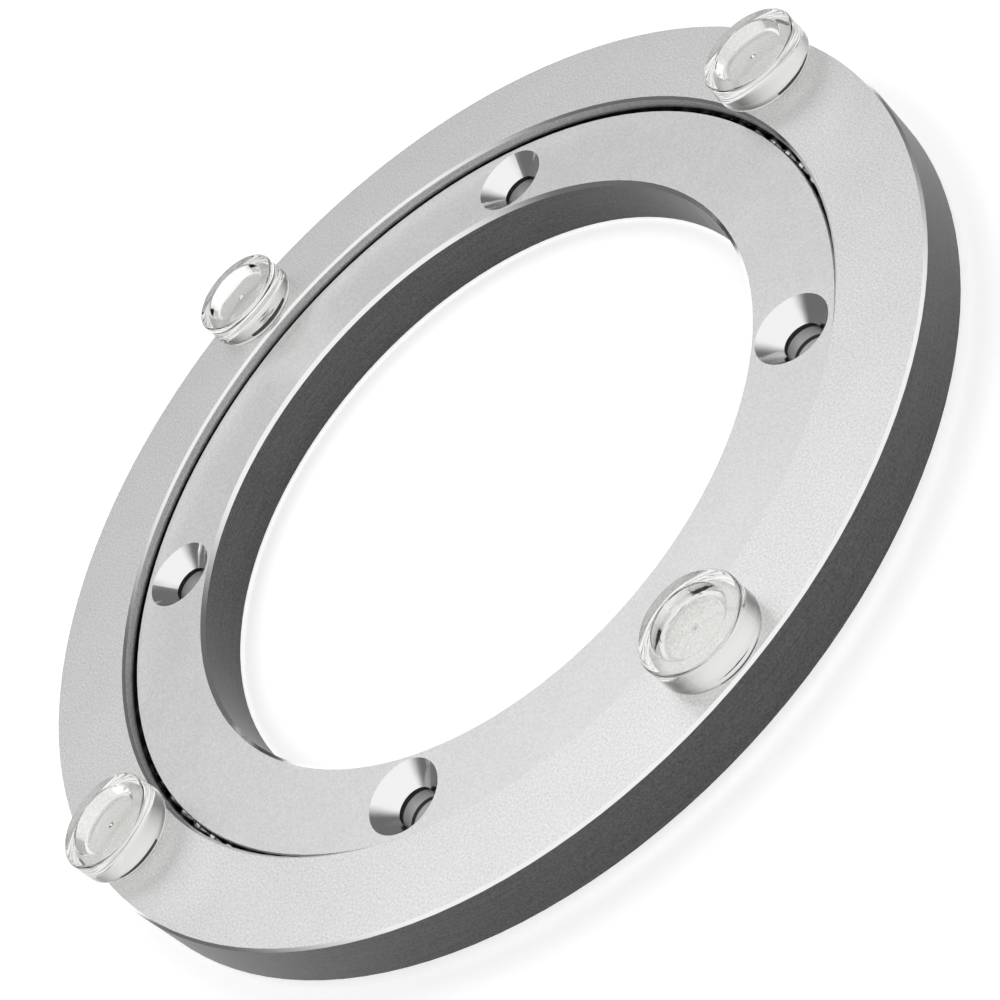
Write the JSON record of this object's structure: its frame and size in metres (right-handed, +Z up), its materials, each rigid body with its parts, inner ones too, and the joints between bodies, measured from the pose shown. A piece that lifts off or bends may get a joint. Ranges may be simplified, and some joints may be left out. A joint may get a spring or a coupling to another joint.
{
  "type": "lazy susan bearing",
  "caption": "Flat turntable bearing: two aluminium rings on a full row of steel balls, with countersunk screw holes in the inner ring and clear dished pads on the outer ring.",
  "frame": {"origin": "centre of the inner ring's bottom face, on the turning axis", "axes": "+Z up along the turning axis, towards the pads; +X through the first pad"},
  "size_m": [0.1414, 0.1414, 0.0148],
  "materials": {
    "blasted_aluminium": "bead blasted satin, with bright turned edges and countersinks",
    "ball_steel": "polished, under a thin dark film of grease",
    "plug_steel": "plain turned",
    "clear_plastic": "clear soft plastic with a smooth moulded skin"
  },
  "bodies": {
    "inner_ring": {"inner_ring": "blasted_aluminium"},
    "outer_ring": {"outer_ring": "blasted_aluminium", "filler_plug": "plug_steel", "clear_pad_1": "clear_plastic", "clear_pad_2": "clear_plastic", "clear_pad_3": "clear_plastic", "clear_pad_4": "clear_plastic"},
    "ball_row": {"steel_balls": "ball_steel"}
  },
  "joints": [
    {"name": "outer_ring_spin", "type": "hinge", "parent": "inner_ring", "child": "outer_ring", "pos_m": [0, 0, 0.0048], "axis": [0, 0, 1], "continuous": true},
    {"name": "ball_orbit", "type": "hinge", "parent": "inner_ring", "child": "ball_row", "pos_m": [0, 0, 0.0048], "axis": [0, 0, 1], "continuous": true}
  ],
  "couplings": [
    {"joint": "ball_orbit", "follows": "outer_ring_spin", "ratio": 0.5124}
  ]
}
